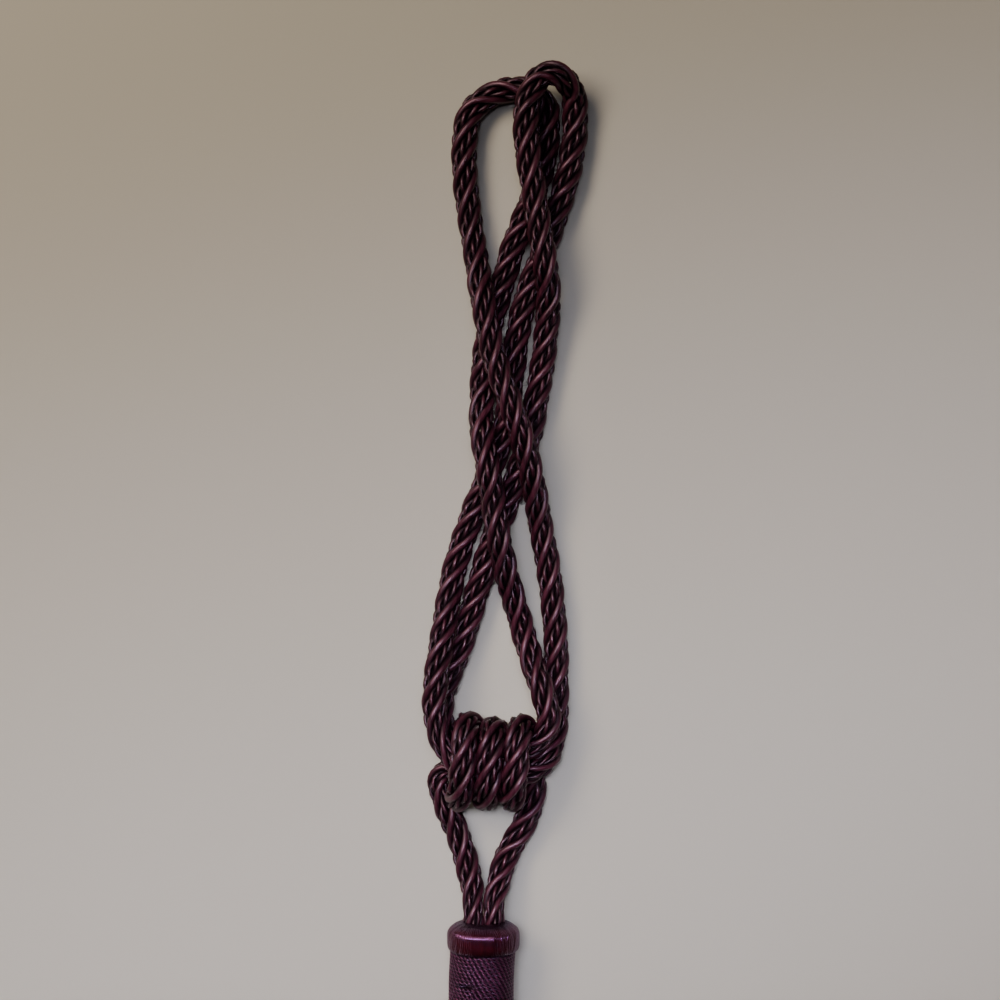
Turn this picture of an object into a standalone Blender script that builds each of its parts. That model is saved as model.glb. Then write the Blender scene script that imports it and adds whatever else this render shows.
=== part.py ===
"""A curtain tieback with a tassel, laid out flat on its back.

One rope makes both long loops. The rope that carries the tassel is wound three times
round it as a knot, and both its ends go into the tassel's head: a satin-covered collar
on a barrel wound with fine cord, with a cut fringe below.
"""

import math

import bmesh
import bpy
import numpy as np
from mathutils import Vector

MM = 0.001
MERGE = 0.00001  # in metres, as Blender's merge distances are

# Lengths and places from here on are in millimetres.
GAP = 0.3  # between touching pieces
SHARP_DEGREES = 50  # edges bent more than this show as edges

# The rope: three plies, so three ridges wind round it.
RIDGE_RADIUS = 5.9
SHOULDER_RADIUS = 5.75
GROOVE_RADIUS = 4.3
RIDGES = 3
LAY = 46.0  # length of one full turn of the twist
ROPE_STEP = 5.2
LOWEST_MIDDLE = 5.7  # height of the rope's middle where it lies on the floor
ROUTE_STEP = 3.0
CURVE_PARTS = 16  # straight pieces of the smooth curve between two route points

# How crossing stretches of rope are parted.
CLEARING_PASSES = 320
SMOOTHED_PASSES = 256  # of these, the first ones that also even out the bends
PUSH = 0.22  # share of an overlap that one pass takes away
EVENING = 0.5
CLEARANCE = GAP + 0.1
NEIGHBOURS = 7  # steps along one rope that never count as a crossing

# Where the rope is thinner.
SQUEEZED = 0.83  # thickness of the loops' rope inside the knot
KNOT_REACH = (25.0, 36.0)  # from full squeeze to none, measured from the knot's middle
HOOK = (-23.5, -43.0)  # the hanger bends sharply here as it goes under the knot,
HOOK_REACH = (6.0, 13.0)  # and flattens by as much as
HOOK_FLATTENED = 0.82
TURN_SQUEEZED = 0.95  # thickness of the hanger's turns, which press on each other

# The knot: turns round the two lengths of rope that cross inside it.
KNOT_X = -19.4
KNOT_Y = -31.5
KNOT_HEIGHT = 16.8
KNOT_TURNS = 2.5
POINTS_PER_TURN = 16
TURN_PITCH = 11.6
FRONT_LEAN = 3.2
TURN_RADIUS = 11.1
TURN_FLATS = (5.0, 5.0, 2.6)  # half the flat stretch of each turn
TURN_DROPS = (0.0, 0.5, 1.0)  # how far each turn's middle lies below the first one's
KNOT_RISES = (1.3, 1.12, 1.03)  # how far each turn's front stands up, against a round one

# The head: collar and barrel share one axis, along Y.
HEAD_X = -9.0
HEAD_HEIGHT = 15.7
COLLAR_TOP = -105.0
COLLAR_RADIUS = 16.0
COLLAR_LENGTH = 11.5
COLLAR_LOW_ROUNDING = 2.0
MOUTH_RADIUS = 9.9
MOUTH_DEPTH = 7.0
BARREL_RADIUS = 14.4
BARREL_LENGTH = 38.0
BARREL_ROUNDING = 0.8
HEAD_SIDES = 40
FLOOR_WIDTH = 200.0  # the block that cuts the head's flat spot
FLOOR_DEPTH = 20.0
TAPERED = 0.76  # thickness of the hanger where its two legs share the collar's mouth
TAPER_FROM = -82.0
TAPER_TO = -98.0
TURNS_FROM = (-62.0, -50.0)  # where, coming up the hanger, that squeeze sets in

# The skirt: locks of fringe that stand on a heading band.
LOCKS_ACROSS = 10
BAND_RADIUS = 13.4
BAND_THICKNESS = 3.0
LOCK_LENGTH = 123.0
LOCK_UNEVENNESS = 2.2
LOCK_STEPS = 5
LOCK_SHARE = 0.8  # of its cell's width that a lock takes at the root,
LOCK_END_SHARE = 0.48  # and at its end,
LOCK_EVEN_FROM = 0.8  # reached this share of the way down
SKIRT_HALF_WIDTH = 27.0
SKIRT_SPREAD = (-0.1, 0.85)  # shares of the length between which the skirt widens
SKIRT_DROOP = 0.3  # share of the length in which it comes down to the floor
SKIRT_HEIGHT = 23.0
SKIRT_CROWN = 0.9  # how far across the heap's round top reaches towards the floor

# Route points in millimetres: right, up the length, height above the floor.
RIGHT_LOOP_OUTER = [
    (-5, -36.5, 16.8), (-9.5, -36, 16.5), (-16, -31, 19.5), (-21.5, -25.5, 20), (-26, -19.5, 20),
    (-28.5, -12, 18.8), (-29.5, -3.5, 17.8), (-29, 10.5, 17), (-26, 32, 12), (-21.5, 57.5, 6),
    (-13.5, 82.5, 5.5), (-6, 101.5, 5.5), (1, 123.5, 8), (4, 145.5, 7), (7, 167, 5.5),
    (12, 185.5, 5.5), (17.5, 201.5, 5.5), (22.5, 217.5, 5.5), (27.5, 237, 5.5), (31, 256, 5.5),
    (31, 270, 8), (28.5, 275.8, 13),
]
RIGHT_LOOP_INNER = [
    (22.5, 279.2, 17), (16.5, 278, 17), (12.5, 272, 17), (10, 262, 17), (10.5, 246, 17),
    (13, 228, 17), (15, 210, 17), (17, 192, 16), (17.3, 176, 9), (16, 153.5, 5.5),
    (13, 132.5, 5.5), (10.3, 116, 5.5), (6, 99.5, 5.5), (1, 83.5, 5.5), (-5, 68, 5.5),
    (-10, 51, 5.5), (-15, 35, 5.5), (-20, 18.5, 5.5), (-24.5, 6.5, 5.5), (-27, -4.5, 5.5),
    (-25.5, -14.5, 7), (-21, -22, 10.5), (-15, -26, 13), (-8.5, -26.5, 16.8), (-1.5, -26.5, 16.8),
]
LEFT_LOOP_INNER = [
    (5.5, -26, 16.8), (12, -23, 17.5), (17.5, -17.5, 18), (19.5, -10.5, 18), (18.5, -3.5, 17.5),
    (15.5, 6, 15.5), (11.5, 18, 9), (6.5, 35, 5.5), (1, 54, 12), (-2.5, 72.5, 17.7),
    (-4, 87, 16.2), (-5.5, 101.5, 17.7), (-7, 116.5, 13), (-7.5, 135, 5.5), (-6.5, 153.5, 5.5),
    (-3, 170, 5.5), (1.8, 185.5, 5.5), (6.8, 202.5, 5.5), (14.2, 221.5, 5.5), (20.5, 239, 5.5),
    (22, 255, 5.5), (20.5, 267, 5.5), (13.5, 273.5, 5.5), (3.5, 274.5, 5.5), (-5.5, 271.5, 5.5),
    (-13.6, 265.2, 5.5),
]
LEFT_LOOP_OUTER = [
    (-17.2, 253.8, 5.5), (-17.2, 234, 5.5), (-14.2, 212.5, 5.5), (-10.5, 193, 8), (-7.5, 174, 15),
    (-3.5, 151, 17.6), (3, 131, 19.5), (9, 112, 17.7), (13, 94.5, 13.5), (16.2, 78, 7),
    (20, 58.5, 5.5), (22.4, 40, 5.5), (23.7, 20.5, 5.5), (23.2, 0, 5.5), (22.4, -12.5, 6),
    (20.3, -22.5, 8.5), (17, -29.5, 13), (10, -34.5, 16.8), (2, -36.5, 16.8), (-3.5, -36.5, 16.8),
]
HANGER_LEFT = [
    (-13.4, -111, 15.7), (-13.4, -100.5, 15), (-13.5, -93.5, 12.5), (-14.5, -86, 9),
    (-17, -76.5, 6.5), (-20.5, -65.5, 5.5), (-24, -57, 5.5), (-27, -50, 5.5),
    (-29, -44, 5.5), (-28, -38.5, 5.5), (-23.5, -36.5, 5.5), (-19.5, -39.5, 5.9), (-18, -44.5, 9.5),
]
HANGER_RIGHT = [
    (8.5, -20.5, 9), (10, -26, 6), (11, -34, 5.5), (11.5, -41, 5.2), (11.8, -49, 5.2),
    (10.5, -55.5, 5.5), (6.5, -65, 5.5), (1, -75, 6), (-2, -85, 8.5), (-4.3, -93.5, 12.5),
    (-4.6, -100.5, 15), (-4.6, -111, 15.7),
]


def clear_scene():
    for item in list(bpy.data.objects):
        bpy.data.objects.remove(item, do_unlink=True)


def make_material(name, colour, roughness, sheen):
    material = bpy.data.materials.new(name)
    material.use_nodes = True
    shader = material.node_tree.nodes["Principled BSDF"]
    shader.inputs["Base Color"].default_value = (*colour, 1)
    shader.inputs["Roughness"].default_value = roughness
    shader.inputs["Metallic"].default_value = 0
    shader.inputs["Sheen Weight"].default_value = sheen
    material.diffuse_color = (*colour, 1)
    return material


def ease(value, low, high):
    """0 below low and 1 above high, with a smooth rise between."""
    share = np.clip((value - low) / (high - low), 0, 1)
    return share * share * (3 - 2 * share)


def knot_turns():
    """The hanger's turns round the loops' rope, from the first turn's lower edge on."""
    points = []
    for step in range(round(KNOT_TURNS * POINTS_PER_TURN) + 1):
        turn, part = divmod(step, POINTS_PER_TURN)
        angle = 2 * math.pi * part / POINTS_PER_TURN
        across = math.cos(angle)
        if 2 * part <= POINTS_PER_TURN:
            shift = FRONT_LEAN * (1 - across) / 2
            rise = KNOT_RISES[turn]
        else:
            behind = 2 * part / POINTS_PER_TURN - 1
            shift = FRONT_LEAN + (TURN_PITCH - FRONT_LEAN) * math.sin(math.pi / 2 * behind)
            rise = 1
        x = KNOT_X + TURN_PITCH * turn + shift
        place = turn + max(2 * part / POINTS_PER_TURN - 1, 0)
        flat = np.interp(place, range(len(TURN_FLATS)), TURN_FLATS)
        drop = np.interp(place, range(len(TURN_DROPS)), TURN_DROPS)
        y = KNOT_Y - drop - TURN_RADIUS * across - flat * math.tanh(3 * across)
        points.append((x, y, KNOT_HEIGHT + TURN_RADIUS * rise * math.sin(angle)))
    return points


def smooth_route(points, step):
    """Evenly spaced points on a Catmull-Rom curve through the route's points."""
    route = np.array(points, float)
    route = np.vstack([2 * route[0] - route[1], route, 2 * route[-1] - route[-2]])
    fine = []
    for a, b, c, d in zip(route, route[1:], route[2:], route[3:]):
        slope = c - a
        bend = 2 * a - 5 * b + 4 * c - d
        swing = 3 * b - a - 3 * c + d
        for part in range(CURVE_PARTS):
            t = part / CURVE_PARTS
            fine.append(b + t * (slope + t * (bend + t * swing)) / 2)
    fine = np.array(fine + [route[-2]])
    along = arc_lengths(fine)
    places = np.linspace(0, along[-1], round(along[-1] / step) + 1)
    return np.stack([np.interp(places, along, fine[:, axis]) for axis in range(3)], 1)


def arc_lengths(points):
    return np.concatenate([[0], np.cumsum(np.linalg.norm(np.diff(points, axis=0), axis=1))])


def loops_thickness(points):
    """The loops' rope is squeezed where the knot holds it."""
    from_knot = np.hypot(points[:, 0] - KNOT_X - TURN_PITCH, points[:, 1] - KNOT_Y)
    return SQUEEZED + (1 - SQUEEZED) * ease(from_knot, *KNOT_REACH)


def hanger_thickness(points):
    """The hanger is flattened where it hooks in, and thin where both legs enter the collar."""
    from_hook = np.linalg.norm(points - (*HOOK, LOWEST_MIDDLE), axis=1)
    hook = HOOK_FLATTENED + (1 - HOOK_FLATTENED) * ease(from_hook, *HOOK_REACH)
    turns = 1 - (1 - TURN_SQUEEZED) * ease(points[:, 1], *TURNS_FROM)
    return hook * turns * (1 - (1 - TAPERED) * ease(-points[:, 1], -TAPER_FROM, -TAPER_TO))


def clear_crossings(ropes, thicknesses):
    """Parts the ropes where they cross, so that one passes over the other just clear of it.

    A stretch that is moved takes its neighbours along, so that the rope stays smooth."""
    points = np.vstack(ropes)
    radius = np.concatenate(thicknesses) * RIDGE_RADIUS
    owner = np.repeat(np.arange(len(ropes)), [len(rope) for rope in ropes])
    order = np.arange(len(points))
    apart = (owner[:, None] != owner) | (abs(order[:, None] - order) > NEIGHBOURS)
    wanted = np.where(apart, radius[:, None] + radius + CLEARANCE, 0)
    lowest = LOWEST_MIDDLE * np.concatenate(thicknesses)
    inner = (owner[1:-1] == owner[2:]) & (owner[1:-1] == owner[:-2])
    start = points.copy()
    for count in range(CLEARING_PASSES):
        between = points[:, None] - points
        distance = np.maximum(np.linalg.norm(between, axis=2), 1e-6)
        lack = np.maximum(wanted - distance, 0)
        points += (between * (lack / distance)[:, :, None]).sum(1) * PUSH
        if count < SMOOTHED_PASSES:
            moved = points - start
            bend = (moved[:-2] + moved[2:]) / 2 - moved[1:-1]
            points[1:-1] += EVENING * bend * inner[:, None]
        points[:, 2] = np.maximum(points[:, 2], lowest)
    ends = np.cumsum([len(rope) for rope in ropes])[:-1]
    return np.split(points, ends)


def rope_routes():
    """The middles of both ropes, in millimetres."""
    loops = RIGHT_LOOP_OUTER + RIGHT_LOOP_INNER + LEFT_LOOP_INNER + LEFT_LOOP_OUTER
    hanger = HANGER_LEFT + knot_turns() + HANGER_RIGHT
    routes = [smooth_route(points, ROUTE_STEP) for points in (loops, hanger)]
    return clear_crossings(routes, [loops_thickness(routes[0]), hanger_thickness(routes[1])])


def rope_section():
    """The rope's outline as a closed curve: a round ridge for each ply, with a groove beside it."""
    section = bpy.data.curves.new("rope_section", "CURVE")
    section.dimensions = "2D"
    radii = [GROOVE_RADIUS, SHOULDER_RADIUS, RIDGE_RADIUS, SHOULDER_RADIUS] * RIDGES
    spline = section.splines.new("POLY")
    spline.points.add(len(radii) - 1)
    for index, (point, radius) in enumerate(zip(spline.points, radii)):
        angle = 2 * math.pi * index / len(radii)
        point.co = (radius * MM * math.cos(angle), radius * MM * math.sin(angle), 0, 1)
    spline.use_cyclic_u = True
    return bpy.data.objects.new("rope_section", section)


def make_rope(name, route, thickness, section, material, parts):
    """The section carried along the route and turned with the twist, as one closed mesh."""
    along = arc_lengths(route)
    places = np.linspace(0, along[-1], round(along[-1] / ROPE_STEP) + 1)
    middle = np.stack([np.interp(places, along, route[:, axis]) for axis in range(3)], 1) * MM
    curve = bpy.data.curves.new(name, "CURVE")
    curve.dimensions = "3D"
    curve.bevel_mode = "OBJECT"
    curve.bevel_object = section
    curve.use_fill_caps = True
    spline = curve.splines.new("POLY")
    spline.points.add(len(places) - 1)
    for point, place, where in zip(spline.points, places, middle):
        point.co = (*where, 1)
        point.radius = np.interp(place, along, thickness)
        point.tilt = 2 * math.pi * place / LAY
    guide = bpy.data.objects.new(name + "_guide", curve)
    parts.objects.link(guide)
    bpy.context.view_layer.update()
    mesh = bpy.data.meshes.new_from_object(guide.evaluated_get(bpy.context.evaluated_depsgraph_get()))
    bpy.data.objects.remove(guide)
    rope = bpy.data.objects.new(name, mesh)
    parts.objects.link(rope)
    work = bmesh.new()
    work.from_mesh(mesh)
    bmesh.ops.remove_doubles(work, verts=work.verts, dist=MERGE)
    for vertex in work.verts:
        vertex.co.z = max(vertex.co.z, 0)
    sides = [face for face in work.faces if len(face.verts) == 4]
    bmesh.ops.triangulate(work, faces=sides, quad_method="SHORT_EDGE")
    bmesh.ops.recalc_face_normals(work, faces=work.faces)
    work.to_mesh(mesh)
    work.free()
    finish(rope, material)
    return rope


def finish(item, material):
    item.data.materials.clear()
    item.data.materials.append(material)
    item.data.shade_smooth()
    item.data.set_sharp_from_angle(angle=math.radians(SHARP_DEGREES))


def make_turned(name, profile, top, material, parts):
    """A turned piece of the head. The profile is (radius, depth below its top) in millimetres."""
    mesh = bpy.data.meshes.new(name)
    corners = [(radius * MM, 0, -depth * MM) for radius, depth in profile]
    mesh.from_pydata(corners, [(i, i + 1) for i in range(len(corners) - 1)], [])
    piece = bpy.data.objects.new(name, mesh)
    piece.location = (HEAD_X * MM, top * MM, HEAD_HEIGHT * MM)
    piece.rotation_euler = (math.radians(-90), 0, 0)
    parts.objects.link(piece)
    turning = piece.modifiers.new("turning", "SCREW")
    turning.steps = turning.render_steps = HEAD_SIDES
    turning.use_merge_vertices = True
    turning.merge_threshold = MERGE
    finish(piece, material)
    return piece


def arc(centre, radius, start, end, count):
    """Points of a profile's rounding: (radius, depth) about a centre, angles in degrees."""
    angles = [math.radians(start + (end - start) * i / count) for i in range(count + 1)]
    return [(centre[0] + radius * math.sin(a), centre[1] - radius * math.cos(a)) for a in angles]


def collar_profile():
    """A full round top edge, a dished mouth that the hanger goes into, and a smaller lower edge."""
    lip = (COLLAR_RADIUS - MOUTH_RADIUS) / 2
    inner = [(0, MOUTH_DEPTH), (MOUTH_RADIUS, MOUTH_DEPTH)]
    top = arc((COLLAR_RADIUS - lip, lip), lip, -90, 90, 8)
    low_centre = (COLLAR_RADIUS - COLLAR_LOW_ROUNDING, COLLAR_LENGTH - COLLAR_LOW_ROUNDING)
    low = arc(low_centre, COLLAR_LOW_ROUNDING, 90, 180, 3)
    return inner + top + low + [(0, COLLAR_LENGTH)]


def barrel_profile():
    top = arc((BARREL_RADIUS - BARREL_ROUNDING, BARREL_ROUNDING), BARREL_ROUNDING, 0, 90, 2)
    low_centre = (BARREL_RADIUS - BARREL_ROUNDING, BARREL_LENGTH - BARREL_ROUNDING)
    low = arc(low_centre, BARREL_ROUNDING, 90, 180, 2)
    return [(0, 0)] + top + low + [(0, BARREL_LENGTH)]


def cut_at_floor(piece, cutters):
    """Gives the piece the small flat spot that it rests on."""
    bpy.ops.mesh.primitive_cube_add(size=1)
    cutter = bpy.context.object
    cutter.name = piece.name + "_floor_cutter"
    cutter.scale = (FLOOR_WIDTH * MM, FLOOR_WIDTH * MM, FLOOR_DEPTH * MM)
    cutter.location = (piece.location.x, piece.location.y, -FLOOR_DEPTH * MM / 2)
    for collection in list(cutter.users_collection):
        collection.objects.unlink(cutter)
    cutters.objects.link(cutter)
    cutter.hide_render = True
    cutter.display_type = "WIRE"
    cut = piece.modifiers.new("flat spot", "BOOLEAN")
    cut.operation = "DIFFERENCE"
    cut.solver = "EXACT"
    cut.object = cutter


def disc_place(u, v):
    """A point of the square from -1 to 1, moved into the unit disc."""
    return u * math.sqrt(1 - v * v / 2), v * math.sqrt(1 - u * u / 2)


def lock_share(share):
    """How much of its cell a lock fills this share of the way down the skirt."""
    return LOCK_SHARE + (LOCK_END_SHARE - LOCK_SHARE) * ease(share, 0, LOCK_EVEN_FROM)


def skirt_place(u, v, share):
    """Where the point (u, v) of the band's square lies this share of the way down, across and up.

    The round bundle spreads into a low heap on the floor, and keeps its locks in order."""
    across, up = disc_place(u, v)
    half_width = BAND_RADIUS + (SKIRT_HALF_WIDTH - BAND_RADIUS) * ease(share, *SKIRT_SPREAD)
    crown = SKIRT_HEIGHT * math.sqrt(1 - (SKIRT_CROWN * across) ** 2)
    bottom = -1 + (1 - lock_share(share)) / LOCKS_ACROSS
    heap_height = crown * (v - bottom) / 2
    round_height = HEAD_HEIGHT + BAND_RADIUS * up
    droop = ease(share, 0, SKIRT_DROOP)
    return HEAD_X + across * half_width, round_height + (heap_height - round_height) * droop


def lock_length(column, row):
    """Cut ends that aren't quite level, uneven in a set pattern."""
    wave = math.sin(column * 2.4 + row * 1.7) + math.sin(column * 5.1 - row * 3.3)
    return LOCK_LENGTH + LOCK_UNEVENNESS * wave


def draw_out_lock(work, tip, cell, corners, band_low):
    """Extrudes one lock from its cell of the band, step by step; corners are the cell's, as signs."""
    length = lock_length(*((value + 1) * LOCKS_ACROSS / 2 for value in cell))
    for step in range(LOCK_STEPS + 1):
        share = step / LOCK_STEPS
        half = lock_share(share) / LOCKS_ACROSS
        tip = bmesh.ops.extrude_discrete_faces(work, faces=[tip])["faces"][0]
        for vertex, corner in zip(tip.verts, corners):
            x, z = skirt_place(cell[0] + half * corner[0], cell[1] + half * corner[1], share)
            vertex.co = Vector((x, band_low - length * share, max(z, 0))) * MM


def make_skirt(top, material, parts):
    """The heading band, and on it a grid of locks drawn out one by one."""
    band_low = top - BAND_THICKNESS
    work = bmesh.new()
    bmesh.ops.create_grid(work, x_segments=LOCKS_ACROSS, y_segments=LOCKS_ACROSS, size=1)
    front = bmesh.ops.extrude_face_region(work, geom=list(work.faces))["geom"]
    front_corners = {item for item in front if isinstance(item, bmesh.types.BMVert)}
    locks = []
    for tip in (item for item in front if isinstance(item, bmesh.types.BMFace)):
        cell = tuple(tip.calc_center_median()[:2])
        corners = [
            (math.copysign(1, v.co.x - cell[0]), math.copysign(1, v.co.y - cell[1])) for v in tip.verts
        ]
        locks.append((tip, cell, corners))
    for vertex in work.verts:
        across, up = disc_place(vertex.co.x, vertex.co.y)
        y = band_low if vertex in front_corners else top
        vertex.co = Vector((HEAD_X + BAND_RADIUS * across, y, HEAD_HEIGHT + BAND_RADIUS * up)) * MM
    for tip, cell, corners in locks:
        draw_out_lock(work, tip, cell, corners, band_low)
    bmesh.ops.recalc_face_normals(work, faces=work.faces)
    mesh = bpy.data.meshes.new("skirt")
    work.to_mesh(mesh)
    work.free()
    skirt = bpy.data.objects.new("skirt", mesh)
    parts.objects.link(skirt)
    finish(skirt, material)
    return skirt


def make_collection(name):
    collection = bpy.data.collections.new(name)
    bpy.context.scene.collection.children.link(collection)
    return collection


def main():
    clear_scene()
    parts = make_collection("curtain_tieback")
    cutters = make_collection("cutters")
    cutters.hide_render = True
    rope_yarn = make_material("rope_yarn", (0.075, 0.012, 0.026), 0.42, 0.3)
    satin_thread = make_material("satin_thread", (0.11, 0.018, 0.042), 0.3, 0.2)
    winding_cord = make_material("winding_cord", (0.085, 0.016, 0.04), 0.4, 0.3)
    fringe_yarn = make_material("fringe_yarn", (0.07, 0.012, 0.028), 0.45, 0.3)

    section = rope_section()
    cutters.objects.link(section)
    loops, hanger = rope_routes()
    make_rope("embrace_rope", loops, loops_thickness(loops), section, rope_yarn, parts)
    make_rope("hanger_rope", hanger, hanger_thickness(hanger), section, rope_yarn, parts)

    barrel_top = COLLAR_TOP - COLLAR_LENGTH - GAP
    collar = make_turned("head_collar", collar_profile(), COLLAR_TOP, satin_thread, parts)
    cut_at_floor(collar, cutters)
    make_turned("head_barrel", barrel_profile(), barrel_top, winding_cord, parts)
    make_skirt(barrel_top - BARREL_LENGTH - GAP, fringe_yarn, parts)


main()
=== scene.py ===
"""The looks of a curtain tieback with a tassel: both ropes strand by strand, the satin collar,
the cord wound round the tassel's head, and the fringe."""
import math

import bpy
import numpy as np
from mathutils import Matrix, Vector


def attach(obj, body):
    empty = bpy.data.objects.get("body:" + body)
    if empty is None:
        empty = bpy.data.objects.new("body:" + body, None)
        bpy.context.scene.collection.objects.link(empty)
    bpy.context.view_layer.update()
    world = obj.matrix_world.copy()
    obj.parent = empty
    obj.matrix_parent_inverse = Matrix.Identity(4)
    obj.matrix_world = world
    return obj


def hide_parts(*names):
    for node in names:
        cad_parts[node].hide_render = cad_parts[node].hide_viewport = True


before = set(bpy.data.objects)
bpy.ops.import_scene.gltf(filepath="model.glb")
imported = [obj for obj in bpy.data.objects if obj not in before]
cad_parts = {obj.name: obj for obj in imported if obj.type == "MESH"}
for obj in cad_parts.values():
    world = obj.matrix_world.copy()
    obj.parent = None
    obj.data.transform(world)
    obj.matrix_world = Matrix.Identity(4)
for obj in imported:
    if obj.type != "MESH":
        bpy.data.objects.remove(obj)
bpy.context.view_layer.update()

MM = 0.001
WANDER_RATES = (1, 1.7, 2.9, 4.3)  # waves that a slow wander is added up from
WANDER_SCALE = 1.6
TINY = 1e-9  # keeps a length that is divided by from being nothing
FIBRE_OFFSET = 37.0  # keeps one strand's fibres from looking like the next one's

# Lengths and places from here on are in millimetres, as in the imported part.

# The photograph looks straight down at the floor.
CAMERA_PLACE = (-1.5, 87.0, 900.0)
FLOOR_SEEN = 460.0  # width of floor in the square picture
SENSOR = 36.0

# The ropes' routes, as in the part.
RIDGE_RADIUS = 5.9
LAY = 46.0  # length of one full turn of the twist
LOWEST_MIDDLE = 5.7  # height of the rope's middle where it lies on the floor
GAP = 0.3
ROUTE_STEP = 3.0
CURVE_PARTS = 16  # straight pieces of the smooth curve between two route points
CLEARING_PASSES = 320
SMOOTHED_PASSES = 256  # of these, the first ones that also even out the bends
PUSH = 0.22  # share of an overlap that one pass takes away
EVENING = 0.5
CLEARANCE = GAP + 0.1
NEIGHBOURS = 7  # steps along one rope that never count as a crossing
SQUEEZED = 0.83  # thickness of the loops' rope inside the knot
KNOT_REACH = (25.0, 36.0)  # from full squeeze to none, measured from the knot's middle
HOOK = (-23.5, -43.0)  # where the hanger bends sharply as it goes under the knot
HOOK_FLATTENED = 0.82  # thickness of the hanger there
HOOK_REACH = (6.0, 13.0)  # from fully flattened to round, measured from the hook
TURN_SQUEEZED = 0.95  # thickness of the hanger's turns, which press on each other
TURNS_FROM = (-62.0, -50.0)  # where, coming up the hanger, that squeeze sets in
TAPERED = 0.76  # thickness of the hanger where its two legs share the collar's mouth
TAPER_FROM = -82.0
TAPER_TO = -98.0
KNOT_X = -19.4
KNOT_Y = -31.5
KNOT_HEIGHT = 16.8  # of the middle of the rope inside the knot
KNOT_TURNS = 2.5
POINTS_PER_TURN = 16
TURN_PITCH = 11.6
FRONT_LEAN = 3.2
TURN_RADIUS = 11.1
TURN_SQUARENESS = 3  # how suddenly a turn's flat stretch ends
TURN_FLATS = (5.0, 5.0, 2.6)  # half the flat stretch of each turn
TURN_DROPS = (0.0, 0.5, 1.0)  # how far each turn's middle lies below the first one's
KNOT_RISES = (1.3, 1.12, 1.03)  # how far each turn's front stands up, against a round one

# What the rope is laid from: three plies of three threads, and a thick strand in each groove.
STRAND_STEP = 1.5
PLIES = 3
PLY_REACH = 3.35  # from the rope's middle to the ply's
THREADS_PER_PLY = 3
THREAD_REACH = 1.4  # from the ply's middle to the thread's
THREAD_RADIUS = 1.04
THREAD_LAY = -20.0  # the plies are twisted the other way, so their threads lie along the rope
THREAD_SIDES = 6
THICK_REACH = 4.3
THICK_RADIUS = 1.62
THICK_SIDES = 9
GROOVE_TO_RIDGE = (4.65, 5.75)  # from the rope's middle: full painted shade deep between strands, none on top of them
FLANK_TO_TOP = (0.4, 1.0)  # how squarely a strand's surface faces out: painted shade on its flank, none on its top
SCENE_TAPERED = 0.83  # the legs' strands at the collar, which press into each other
SCENE_TURNS = 1.04  # the same in the knot's turns
CROWN_SWELL = 0.05  # the strands' extra size where the loops lie side by side below the crown
CROWN_SIDE = (253.0, 28.0)  # how high that is, and how far it reaches
# Along the hanger, and how much further round than an even twist its strands lie there.
HANGER_TWIST = [(0, 0.0), (60, 0.2), (120, 0.5), (221, 0.0), (322, 0.9), (400, 0.4), (450, 0.2)]
LOOPS_TWIST = [(0, 0.0)]  # the loops' rope is twisted evenly
TIGHTEST = 0.85  # share of a bend's radius that strands on its inner side may take up
STRAIGHT = 1e-3  # a bend with less than this over its radius counts as none
# Each slow wander has a size, and a length along the rope over which it comes and goes.
TWIST_WANDER = (0.08, 170)  # radians
THREAD_WANDER = (0.07, 23)  # share of the thread's reach
THICK_ANGLE_WANDER = (0.05, 60)  # radians
THICK_REACH_WANDER = (0.02, 40)  # share of the thick strand's reach
SEEDS_PER_PLY = 10  # added to a rope's seed, so that no two wanders are alike
THICK_ANGLE_SEED = 50
THICK_REACH_SEED = 60

# The tassel's head.
HEAD_X = -9.0
HEAD_HEIGHT = 15.7
COLLAR_TOP = -105.0
COLLAR_RADIUS = 16.0
COLLAR_LENGTH = 11.5
MOUTH_SHADOW = (11.5, 15.9)  # radii of the ropes' painted shadow round the mouth: as dark as between the ropes, and fully lit
SATIN_THREADS = 118
POINTS_PER_SATIN_THREAD = 7
SATIN_STEP = 0.7  # along a thread
SATIN_ROUNDNESS = 0.9  # 1 for a thread that is a full half circle
SATIN_RELIEF = 0.3
SATIN_UNEVENNESS = 0.11
SATIN_SEED = 5
SATIN_GROUPS = ((9, 21), (21, 22))  # waves that threads rise and sink in together, and their seeds
SATIN_GROUP_SHARE = 0.5
SATIN_THREAD_SHARE = 0.25  # and what each thread rises and sinks by itself
SATIN_THREAD_WAVE = (26, 23)  # its length down the collar, and its seed
SATIN_THREAD_APART = 9  # keeps one thread's wave from lining up with the next one's
SATIN_SWING = 0.02  # radians by which threads stray sideways
SATIN_SWING_DRIFT = 0.02  # radians by which that wave moves on for each millimetre down
SATIN_SWINGS = (13, 24)  # waves round the collar, and their seed
# painted light between the satin threads, at its darkest
SATIN_PAINTED_LIGHT_LEAST = 0.35
SATIN_TINT = 0.5
SATIN_FIBRE_RADIUS = SATIN_THREADS / 4  # spreads the fibres' pattern round the collar
# millimetres over which painted shade darkens the collar towards its lower edge
LOWER_EDGE_SHADOW = 3
BARREL_TOP = COLLAR_TOP - COLLAR_LENGTH - GAP
BARREL_RADIUS = 14.8
BARREL_LENGTH = 38.0
CORD_PITCH = 1.56  # from one row of the winding to the next
CORD_RADIUS = 0.8
CORD_STRAND_REACH = 0.42  # from the cord's middle to the strand's, outwards
CORD_STRAND_SWAY = 0.66  # and along the head
CORD_STRAND_RADIUS = 0.43
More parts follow.
